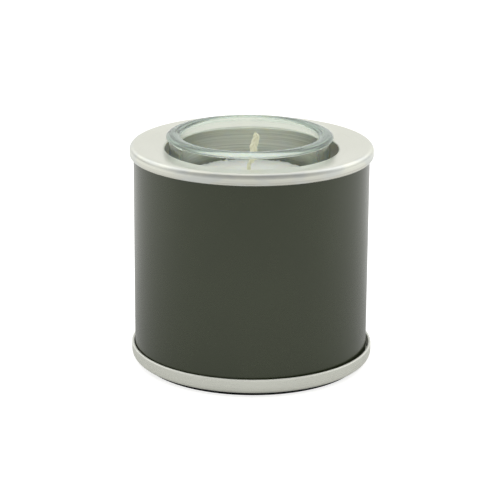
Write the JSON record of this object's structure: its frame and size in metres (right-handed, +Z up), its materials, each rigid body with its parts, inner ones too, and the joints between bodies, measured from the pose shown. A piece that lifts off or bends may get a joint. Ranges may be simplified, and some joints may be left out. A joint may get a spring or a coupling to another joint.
{
  "type": "candle tin",
  "caption": "Round metal candle holder with a broad pale cap, a dished foot and a candle poured in a thick glass cup that lifts out of the cap's well.",
  "frame": {"origin": "centre of the underside of the foot pad, on the axis of the tube and the cap", "axes": "+Z up along the axis of the tube, -Y towards the front, +X to the right seen from the front"},
  "size_m": [0.0804, 0.0802, 0.0781],
  "materials": {
    "foot_foam": "dense black foam, matt",
    "tray_metal": "satin, fine turning lines",
    "tube_coat": "dark olive-grey satin coat",
    "cap_metal": "satin face with a fine circular grain, turning lines in the well",
    "fastener_zinc": "zinc plated",
    "cup_glass": "clear, faint blue-green tint, fire-polished",
    "candle_wax": "poured wax, pale ivory grey, faintly translucent",
    "wick_cotton": "waxed flat-braided cotton, cream",
    "sustainer_tin": "tinned sheet",
    "glue_dot": "translucent glue"
  },
  "bodies": {
    "holder": {"base_pad": "foot_foam", "base_tray": "tray_metal", "body_tube": "tube_coat", "well_cap": "cap_metal", "clamp_screw": "fastener_zinc", "clamp_washer": "fastener_zinc", "clamp_nut": "fastener_zinc"},
    "candle": {"glass_cup": "cup_glass", "wax": "candle_wax", "wick": "wick_cotton", "wick_sustainer": "sustainer_tin", "wick_sticker": "glue_dot"}
  },
  "joints": [
    {"name": "candle_lift", "type": "slide", "parent": "holder", "child": "candle", "axis": [0, 0, 1], "range_m": [0, 0.07]}
  ]
}
